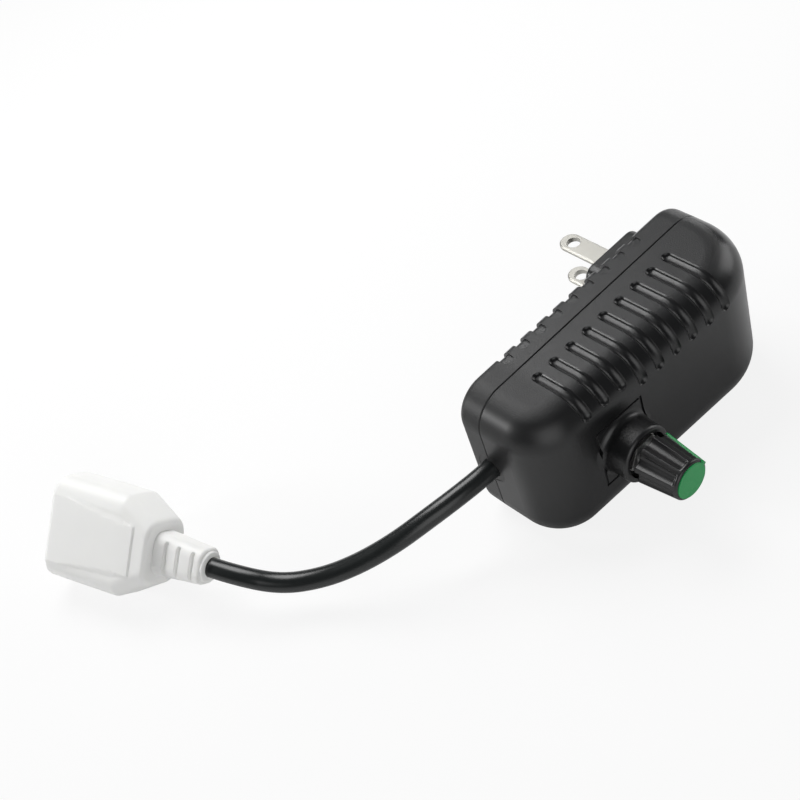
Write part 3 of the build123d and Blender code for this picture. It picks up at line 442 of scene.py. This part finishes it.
# The radius and the height of each row, from the bore's floor to the middle of the cap's seat.
# The land is the black rim round the cap, which stands a little lower than the cap
bore_and_base = np.array([
    (NEAR_AXIS, BORE_DEPTH),
    (BORE_RADIUS, BORE_DEPTH),
    (BORE_RADIUS, KNOB_START),
    (BASE_MIDDLE_RADIUS, KNOB_START),
    (BASE_FACE_RADIUS, KNOB_START),
    (BASE_EDGE_RADIUS, KNOB_START + BASE_EDGE_HEIGHT),
])
flank_h = np.linspace(FLANK_START, flank_top, FLANK_ROWS)
tip_down, tip_in = round_edge(TIP_ROUND)[:, ::-1][:, 1:]
cap_seat = np.array([(CAP_RADIUS, land), (CAP_RADIUS, cap_floor), (SEAT_MIDDLE_RADIUS, cap_floor)])
tip_r = flank_radius(flank_top) - tip_in
knob_r = np.concatenate([bore_and_base[:, 0], flank_radius(flank_h), tip_r, cap_seat[:, 0]])
knob_h = np.concatenate([bore_and_base[:, 1], flank_h, land - tip_down, cap_seat[:, 1]])

# The flutes start at the base face's edge and run out below the tip; bore, tip and seat are round
flutes_end = flank_top - FLUTE_END_BELOW_TIP
outer_rows = knob_r > BASE_MIDDLE_RADIUS
run_out = smooth_step(knob_h, flutes_end - FLUTE_RUNOUT, flutes_end)
knob_fluting = outer_rows * (1.0 - run_out)
knob_body = closed_tube("fluted_knob", knob_points(knob_r, knob_h, knob_fluting))

# %% The knob's green cap
CAP_ROUND = 0.2
CAP_GAP = 0.02
CAP_TOP_RADII = [3.0, 0.2]
cap_edge = CAP_RADIUS - CAP_GAP
cap_down, cap_in = round_edge(CAP_ROUND)[:, ::-1]
cap_r = np.concatenate([[SEAT_MIDDLE_RADIUS, cap_edge], cap_edge - cap_in, CAP_TOP_RADII])
cap_h = np.concatenate([
    [cap_floor + CAP_GAP, cap_floor + CAP_GAP],
    KNOB_HEIGHT - cap_down,
    [KNOB_HEIGHT, KNOB_HEIGHT],
])
knob_cap = closed_tube("green_cap", knob_points(cap_r, cap_h, np.zeros(len(cap_r))))

# %% The pointer down the knob's side
# A narrow bar set into the flank: it follows the taper and stands proud of it, most at the base
POINTER_TURN = math.radians(25.0)
POINTER_WIDTH = (2.1, 1.9)
POINTER_PROUD = (0.38, 0.12)
POINTER_DEPTH = 1.5
POINTER_ROUND = 0.35
POINTER_END_NARROWER = 0.2
POINTER_FROM_BASE = 0.05
POINTER_FROM_TIP = 0.03
POINTER_ROWS = 24
pointer_ends = (KNOB_START + POINTER_FROM_BASE, KNOB_HEIGHT - POINTER_FROM_TIP)
pointer_h = np.linspace(*pointer_ends, POINTER_ROWS)
pointer_width = np.linspace(*POINTER_WIDTH, POINTER_ROWS)
pointer_width[[0, -1]] -= POINTER_END_NARROWER
pointer_rings = rounded_rings(
    np.full(POINTER_ROWS, POINTER_DEPTH), pointer_width, np.full(POINTER_ROWS, POINTER_ROUND),
    pointer_h, per_corner=6, per_side=4,
)
pointer_out, pointer_side, pointer_up = np.moveaxis(pointer_rings, -1, 0)
pointer_proud = blend(*POINTER_PROUD, pointer_up / KNOB_HEIGHT)
pointer_out = flank_radius(pointer_up) + pointer_proud - POINTER_DEPTH / 2 + pointer_out
cos_turn, sin_turn = math.cos(POINTER_TURN), math.sin(POINTER_TURN)
pointer_points = np.stack([
    KNOB_X + pointer_out * cos_turn - pointer_side * sin_turn,
    KNOB_BASE_Y - pointer_up,
    KNOB_Z + pointer_out * sin_turn + pointer_side * cos_turn,
], axis=-1) * MM
pointer = closed_tube("green_pointer", pointer_points)


# %% [markdown]
# ## Finishes as expressions
# A material could be wired by hand, node by node, or painted on pictures. It is a small program,
# though, and reads best as one, and a pattern that is computed stays sharp at any distance. A wire
# below stands for the value that leaves a node; adding or multiplying wires adds Math nodes.
# Everything else comes from one method, which takes a node's type, its settings and its sockets.

# %% Wires and finishes
class Wire:
    """The value at a node's output. Arithmetic on it adds Math nodes."""

    def __init__(self, finish, socket):
        self.finish = finish
        self.socket = socket

    def math(self, operation, *others):
        """The wire after a Math node that takes this wire, and the others if there are any."""
        sockets = dict(enumerate((self,) + others))
        return self.finish.node("ShaderNodeMath", {"operation": operation}, sockets)

    def __add__(self, other):
        return self.math("ADD", other)

    def __mul__(self, other):
        return self.math("MULTIPLY", other)

    def __sub__(self, other):
        return self.math("SUBTRACT", other)

    def __rsub__(self, other):
        return self * -1.0 + other

    __radd__ = __add__
    __rmul__ = __mul__

    def ramp_between(self, low, high):
        """0 below low, 1 above high, smooth between."""
        settings = {"interpolation_type": "SMOOTHSTEP"}
        sockets = {"Value": self, "From Min": low, "From Max": high}
        return self.finish.node("ShaderNodeMapRange", settings, sockets)


class Finish:
    """A material whose nodes are made by expressions."""

    def __init__(self, name):
        self.material = bpy.data.materials.new(name)
        self.material.use_nodes = True
        self.tree = self.material.node_tree
        self.tree.nodes.clear()
        self.place = self.node("ShaderNodeTexCoord", output="Object")

    def node(self, kind, settings=(), sockets=(), output=0):
        """A new node: its settings first, then the values or wires of its sockets. What comes
        back is the wire at one of its outputs."""
        made = self.tree.nodes.new(kind)
        for name, value in dict(settings).items():
            setattr(made, name, value)
        for name, value in dict(sockets).items():
            if isinstance(value, Wire):
                self.tree.links.new(value.socket, made.inputs[name])
            else:
                made.inputs[name].default_value = value
        return Wire(self, made.outputs[output])

    def axis(self, vector, letter):
        """One coordinate of a vector."""
        return self.node("ShaderNodeSeparateXYZ", sockets={"Vector": vector}, output=letter)

    def noise(self, size_mm, detail=2.0, roughness=0.5, place=None):
        """Soft random pattern whose blobs are about size_mm across, from 0 to 1."""
        sockets = {
            "Vector": place or self.place,
            "Scale": 1.0 / (size_mm * MM),
            "Detail": detail,
            "Roughness": roughness,
        }
        return self.node("ShaderNodeTexNoise", sockets=sockets)

    def mixed(self, share, first, second):
        """Colour that goes from first to second as share goes from 0 to 1. The node's two colour
        sockets are numbers 6 and 7, because their names are also those of its other inputs."""
        sockets = {"Factor": share, 6: first + (1.0,), 7: second + (1.0,)}
        return self.node("ShaderNodeMix", {"data_type": "RGBA"}, sockets, output=2)

    def bump(self, height, depth_mm, soft_edge_mm=0.0):
        """Normal of a surface raised by height times depth_mm, with its sharp edges softened."""
        sockets = {"Height": height, "Distance": depth_mm * MM, "Strength": 1.0}
        if soft_edge_mm:
            sockets["Normal"] = self.node(
                "ShaderNodeBevel", {"samples": 6}, {"Radius": soft_edge_mm * MM}
            )
        return self.node("ShaderNodeBump", sockets=sockets)

    def surface(self, **sockets):
        """The finished material of a solid surface, from the sockets of its shader."""
        named = {key.replace("_", " "): value for key, value in sockets.items()}
        return self.shown(self.node("ShaderNodeBsdfPrincipled", sockets=named))

    def shown(self, shader):
        """The material, with a shader led to its output."""
        made = self.tree.nodes.new("ShaderNodeOutputMaterial")
        self.tree.links.new(shader.socket, made.inputs["Surface"])
        return self.material


def paint(piece, material):
    """Give a piece one finish, in place of what it came with."""
    piece.data.materials.clear()
    piece.data.materials.append(material)


# %% [markdown]
# ## The case's two blacks
# The case is one black plastic with two surfaces. The sides are spark-eroded: a fine even grain
# that scatters the light and looks dark grey; the grain's small lighter specks are painted into
# the colour, as painted glints of the light. The front face and the rounded ends are smoother,
# with a soft sheen. Two materials on parts of the mesh would meet in a hard line. One material
# with a mask changes gradually, as the moulding does: the mask follows the direction in which the
# surface faces. The end at the cord is a little duller, and what lies below the upper side and
# behind the front edge, above all the floors of the grooves, is a little glossier.

# %% Case finishes
# The black, and the lighter black that the clouds mix in as random tone and the grain as painted
# glints
BLACK = (0.0040, 0.0042, 0.0045)
TONE_AND_GLINT_BLACK = (0.011, 0.0113, 0.012)
GRAIN_SIZE = 0.34
GRAIN_DEPTH = 0.085
CLOUD_SIZE = 9.0
CASE_SOFT_EDGE = 0.2

# Where each mask rises from 0 to 1: how far the surface faces up or down, then places in metres
SIDE_FACING = (0.80, 0.97)
CORD_END_X = (-0.030, -0.024)
UPPER_SIDE_Z = (0.0441, 0.0443)
FRONT_EDGE_Y = (-0.0115, -0.0095)

# The smooth surface's roughness, and what each mask or pattern adds to it
CASE_ROUGHNESS = 0.30
SIDE_ADDS = 0.12
CORD_END_ADDS = 0.08
SUNK_ADDS = -0.12
CLOUD_ADDS = 0.05
GRAIN_ADDS = 0.06

# How far the clouds turn the black to a lighter tone at random, and how far the grain on the sides
# lightens it in small specks, which are painted glints; which share of the grain's depth is
# everywhere, and which share the sides add
CLOUD_WEARS = 0.5
GRAIN_GLINTS = 0.6
RELIEF_EVERYWHERE = 0.10
RELIEF_SIDES_ADD = 0.85


def case_finish(name, smooth_front):
    """Black plastic, grained where it faces up or down, with the grain's lighter specks painted
    into the colour as glints of the light. Without a smooth front, half of the grain is
    everywhere."""
    finish = Finish(name)
    grain = finish.noise(GRAIN_SIZE, detail=2.5, roughness=0.65)
    cloud = finish.noise(CLOUD_SIZE)
    facing = finish.axis(finish.node("ShaderNodeTexCoord", output="Normal"), "Z")
    side = facing.math("ABSOLUTE").ramp_between(*SIDE_FACING)
    if not smooth_front:
        side = side * 0.5 + 0.5
    cord_end = 1 - finish.axis(finish.place, "X").ramp_between(*CORD_END_X)
    below_side = 1 - finish.axis(finish.place, "Z").ramp_between(*UPPER_SIDE_Z)
    behind_front = finish.axis(finish.place, "Y").ramp_between(*FRONT_EDGE_Y)
    sunk = below_side * behind_front * (1 - cord_end)
    side_grain = grain * side
    masks = side * SIDE_ADDS + cord_end * CORD_END_ADDS + sunk * SUNK_ADDS
    patterns = cloud * CLOUD_ADDS + side_grain * GRAIN_ADDS
    # The clouds give a random lighter tone; the grain's lighter specks on the sides are painted
    # glints
    tone_and_glints = cloud * CLOUD_WEARS + side_grain * GRAIN_GLINTS
    relief = grain * (side * RELIEF_SIDES_ADD + RELIEF_EVERYWHERE)
    return finish.surface(
        Base_Color=finish.mixed(tone_and_glints, BLACK, TONE_AND_GLINT_BLACK),
        Roughness=masks + patterns + CASE_ROUGHNESS,
        Normal=finish.bump(relief, GRAIN_DEPTH, CASE_SOFT_EDGE),
    )


paint(nodes["front_housing"], case_finish("case_front_black", smooth_front=True))
paint(nodes["back_cover"], case_finish("case_back_black", smooth_front=False))
print("nodes in the case's material:", len(bpy.data.materials["case_front_black"].node_tree.nodes))


# %% [markdown]
# ## Rubber, knob and cap
# The cord's sheath is smoother and glossier than the case, the knob is a satin black, and the cap
# is a clear mid green. One flat colour would look like a toy under studio light, so each of them
# has two close colours in soft clouds and a grain that is only just felt.

# %% Soft black and green finishes
SOFT_CLOUD_SIZE = 6.0
SOFT_CLOUD_ADDS = 0.06
SOFT_GRAIN_ADDS = 0.04


def moulded_finish(
    name, colour, other, roughness, grain_mm, depth_mm, soft_edge_mm=0.0, **more
):
    """Plastic or rubber: two close colours in soft clouds over a fine grain, both of which also
    change the roughness a little."""
    finish = Finish(name)
    cloud = finish.noise(SOFT_CLOUD_SIZE)
    grain = finish.noise(grain_mm)
    return finish.surface(
        Base_Color=finish.mixed(cloud, colour, other),
        Roughness=cloud * SOFT_CLOUD_ADDS + grain * SOFT_GRAIN_ADDS + roughness,
        Normal=finish.bump(grain, depth_mm, soft_edge_mm),
        **more,
    )


sheath = moulded_finish(
    "cord_sheath", (0.007, 0.0085, 0.0085), (0.010, 0.012, 0.012),
    roughness=0.25, grain_mm=0.9, depth_mm=0.01,
)
rubber = moulded_finish(
    "grommet_rubber", (0.010, 0.010, 0.010), (0.015, 0.015, 0.015),
    roughness=0.45, grain_mm=0.5, depth_mm=0.02, soft_edge_mm=0.2,
)
satin_black = moulded_finish(
    "knob_black", (0.009, 0.009, 0.0093), (0.013, 0.013, 0.0135),
    roughness=0.28, grain_mm=0.4, depth_mm=0.006,
)
green = moulded_finish(
    "knob_green", (0.002, 0.265, 0.060), (0.003, 0.29, 0.070),
    roughness=0.36, grain_mm=0.5, depth_mm=0.005,
)
paint(cord, sheath)
paint(nodes["cord_tail"], sheath)
paint(nodes["cord_grommet"], rubber)
paint(knob_body, satin_black)
paint(knob_cap, green)
paint(pointer, green)
print("finishes so far:", len(bpy.data.materials))

# %% [markdown]
# ## White socket
# The socket's plastic is a soft, slightly warm white. A plain white surface has grey, hard shaded
# sides, while real plastic of this kind lets light a little way in. A small share of subsurface
# light does the same, so that the shaded sides stay bright.

# %% White finishes
white = moulded_finish(
    "socket_white", (0.80, 0.80, 0.785), (0.82, 0.82, 0.805),
    roughness=0.42, grain_mm=0.5, depth_mm=0.010,
    Subsurface_Weight=0.15, Subsurface_Radius=(0.004, 0.004, 0.0035), Subsurface_Scale=1.0,
)
insert_white = moulded_finish(
    "insert_white", (0.74, 0.74, 0.72), (0.78, 0.78, 0.76),
    roughness=0.45, grain_mm=0.5, depth_mm=0.015, soft_edge_mm=0.15,
)
paint(socket_shell, white)
paint(socket_relief, white)
paint(nodes["socket_insert"], insert_white)
print("finishes so far:", len(bpy.data.materials))


# %% [markdown]
# ## Metal
# The blades are bright nickel with the fine lines of rolling and tumbling. Polished metal without
# any lines mirrors the studio and looks drawn, not made. So a noise is stretched along the blades,
# and breaks up the gloss. Screws, nuts and springs use the same recipe with other colours.

# %% Metal finishes
SMUDGE_SIZE = 5.0
SMUDGE_DULLS = 0.5
SMUDGE_ADDS = 0.08
LINES_DULL = 0.3
LINES_ADD = 0.12
LINE_DEPTH = 0.006
METAL_SOFT_EDGE = 0.15
DULLER = 0.82


def metal_finish(name, colour, roughness, line_mm=0.15, stretch=12.0):
    """Metal with fine scratches drawn out along Y, and smudges a little duller than its colour."""
    finish = Finish(name)
    scale = (1.0, 1.0 / stretch, 1.0)
    drawn = finish.node("ShaderNodeMapping", sockets={"Vector": finish.place, "Scale": scale})
    lines = finish.noise(line_mm, detail=3.0, place=drawn)
    smudge = finish.noise(SMUDGE_SIZE)
    dull = tuple(DULLER * c for c in colour)
    return finish.surface(
        Base_Color=finish.mixed(smudge * SMUDGE_DULLS + lines * LINES_DULL, colour, dull),
        Metallic=1.0,
        Roughness=lines * LINES_ADD + smudge * SMUDGE_ADDS + roughness,
        Normal=finish.bump(lines, LINE_DEPTH, METAL_SOFT_EDGE),
    )


nickel = metal_finish("blade_nickel", (0.50, 0.49, 0.455), roughness=0.34)
zinc = metal_finish("screw_zinc", (0.60, 0.60, 0.58), roughness=0.30)
brass = metal_finish("spring_brass", (0.70, 0.52, 0.24), roughness=0.28)
aluminium = metal_finish("sheet_aluminium", (0.70, 0.71, 0.72), roughness=0.35)
copper = metal_finish(
    "winding_copper", (0.55, 0.22, 0.09), roughness=0.30, line_mm=0.5, stretch=0.1
)
for metal, names in (
    (nickel, ["blade_upper", "blade_lower"]),
    (zinc, ["case_screws", "board_screws", "clamp_screws", "triac_screw", "triac_nut"]),
    (zinc, ["pot_bushing", "pot_can", "pot_washer", "pot_nut", "pot_terminals", "fuse_clips"]),
    (brass, ["socket_contacts"]),
    (aluminium, ["heatsink", "pot_shaft"]),
    (copper, ["choke_winding"]),
):
    for name in names:
        paint(nodes[name], metal)
print("finishes so far:", len(bpy.data.materials))

# %% [markdown]
# ## What is inside
# Nothing inside shows while the case is shut. It could be left in one grey, but then nobody could
# tell a fuse from a resistor when the model is taken apart, so each part has its own plain finish.

# %% Inner finishes
inner_plastics = {
    "pot_wafer": (0.20, 0.09, 0.035),
    "pot_wiper": (0.20, 0.09, 0.035),
    "blade_retainer": (0.18, 0.085, 0.035),
    "cord_clamp": (0.16, 0.08, 0.035),
    "circuit_board": (0.42, 0.30, 0.12),
    "triac": (0.016, 0.016, 0.016),
    "choke_core": (0.03, 0.03, 0.032),
    "line_capacitor": (0.55, 0.33, 0.03),
    "timing_capacitor": (0.16, 0.025, 0.01),
    "fuse": (0.55, 0.56, 0.54),
    "resistors": (0.48, 0.30, 0.14),
    "diac": (0.04, 0.09, 0.28),
    "blade_wires": (0.32, 0.012, 0.01),
    "cord_conductors": (0.32, 0.012, 0.01),
}
for name, colour in inner_plastics.items():
    darker = tuple(0.8 * c for c in colour)
    paint(nodes[name], moulded_finish(
        f"{name}_finish", colour, darker,
        roughness=0.42, grain_mm=0.6, depth_mm=0.02, soft_edge_mm=0.1,
    ))
print("inner finishes:", len(inner_plastics))


# %% [markdown]
# ## Bodies
# The frame has two bodies, the case and the knob. Each new piece is parented to an empty named
# after its body, and the solids it stands for are hidden. The table also lists the slot each piece
# fills, which nothing here reads.

# %% Riding and replacing
for piece, body, stood_for, slot in (
    (cord, "case", ["cord"], "cord_sheath"),
    (socket_shell, "case", ["socket_shell"], "socket_plastic"),
    (socket_relief, "case", ["socket_relief"], "relief_plastic"),
    (knob_body, "knob", ["knob_body"], "knob_plastic"),
    (knob_cap, "knob", ["knob_cap"], "knob_green"),
    (pointer, "knob", [], "knob_green"),
):
    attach(piece, body)
    if stood_for:
        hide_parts(*stood_for)
    print(piece.name, "rides on", body)


# %% [markdown]
# ## Floor, light and background
# The object lies on a plain floor in front of a white background. More light would make a grey
# floor white too, but it would wash out the object. So the floor glows for the camera, and a
# little in reflections, and its matte share still takes the object's shadow. Three soft lamps
# carry the light: one above and behind, a large one in front on the left, and one on the right.
# Two smaller ones, behind on the left and behind on the right, draw the thin highlights of the
# grooves and of the knob's ridges.

# %% Floor
FLOOR_HALF_SIDE = 3.0
FLOOR_Z = -0.0001
FLOOR_STEPS = 9
FLOOR_GREY = (0.80, 0.80, 0.80, 1.0)
WHITE = (1.0, 1.0, 1.0, 1.0)
SEEN_GLOW = 0.85
MIRRORED_GLOW = 0.10

# A square grid of points at one height, joined into four-sided faces
floor_line = np.linspace(-FLOOR_HALF_SIDE, FLOOR_HALF_SIDE, FLOOR_STEPS)
floor_x, floor_y = np.meshgrid(floor_line, floor_line, indexing="ij")
floor_points = np.stack([floor_x, floor_y, np.full_like(floor_x, FLOOR_Z)], axis=-1)
spot = np.arange(FLOOR_STEPS**2).reshape(FLOOR_STEPS, FLOOR_STEPS)
floor_quads = np.stack([spot[:-1, :-1], spot[1:, :-1], spot[1:, 1:], spot[:-1, 1:]], axis=-1)
floor_mesh = bpy.data.meshes.new("floor")
floor_mesh.from_pydata(
    floor_points.reshape(-1, 3).tolist(), [], floor_quads.reshape(-1, 4).tolist()
)
floor = add_object("floor", floor_mesh)

floor_finish = Finish("floor_white")
seen = floor_finish.node("ShaderNodeLightPath", output="Is Camera Ray")
mirrored = floor_finish.node("ShaderNodeLightPath", output="Is Glossy Ray")
matte = floor_finish.node("ShaderNodeBsdfDiffuse", sockets={"Color": FLOOR_GREY})
glow = floor_finish.node("ShaderNodeEmission", sockets={"Color": WHITE})
glow_share = seen * SEEN_GLOW + mirrored * MIRRORED_GLOW
floor_shader = floor_finish.node(
    "ShaderNodeMixShader", sockets={0: glow_share, 1: matte, 2: glow}
)
paint(floor, floor_finish.shown(floor_shader))
print("floor faces:", len(floor_mesh.polygons))


# %% Lamps
def soft_lamp(name, place, aim, side, power):
    """A square lamp, side metres wide, that stands at place and looks at aim."""
    data = bpy.data.lights.new(name, "AREA")
    data.shape = "SQUARE"
    data.size = side
    data.energy = power
    lamp = add_object(name, data)
    lamp.visible_camera = False
    turned = (Vector(aim) - Vector(place)).to_track_quat("-Z", "Y").to_matrix().to_4x4()
    lamp.matrix_world = Matrix.Translation(place) @ turned
    print(name, power, "W")


soft_lamp("high_lamp", (0.02, 0.25, 0.39), aim=(0.0, 0.0, 0.0), side=0.29, power=1.85)
soft_lamp("left_lamp", (-0.70, 0.62, 0.32), aim=(0.0, 0.0, 0.02), side=0.14, power=3.2)
soft_lamp("front_lamp", (-0.50, -0.85, 0.42), aim=(-0.05, 0.0, 0.0), side=0.90, power=4.4)
soft_lamp("right_lamp", (0.80, -0.14, 0.28), aim=(0.0, 0.0, 0.02), side=0.5, power=2.0)
soft_lamp("rim_lamp", (0.72, 0.46, 0.20), aim=(0.0, 0.0, 0.02), side=0.25, power=0.5)

# %% The world: white for the camera, a faint cool light for the object
AMBIENT_COLOUR = (0.95, 0.97, 1.0, 1.0)
AMBIENT_STRENGTH = 0.08
world = bpy.data.worlds.new("studio")
bpy.context.scene.world = world
world.use_nodes = True
world_tree = world.node_tree
world_tree.nodes.clear()
rays = world_tree.nodes.new("ShaderNodeLightPath")
either = world_tree.nodes.new("ShaderNodeMixShader")
world_out = world_tree.nodes.new("ShaderNodeOutputWorld")
world_tree.links.new(rays.outputs["Is Camera Ray"], either.inputs[0])
for place, colour, strength in ((1, AMBIENT_COLOUR, AMBIENT_STRENGTH), (2, WHITE, 1.0)):
    sky = world_tree.nodes.new("ShaderNodeBackground")
    sky.inputs["Color"].default_value = colour
    sky.inputs["Strength"].default_value = strength
    world_tree.links.new(sky.outputs[0], either.inputs[place])
world_tree.links.new(either.outputs[0], world_out.inputs["Surface"])

bpy.context.scene.view_settings.view_transform = "Standard"
print("world nodes:", len(world_tree.nodes))
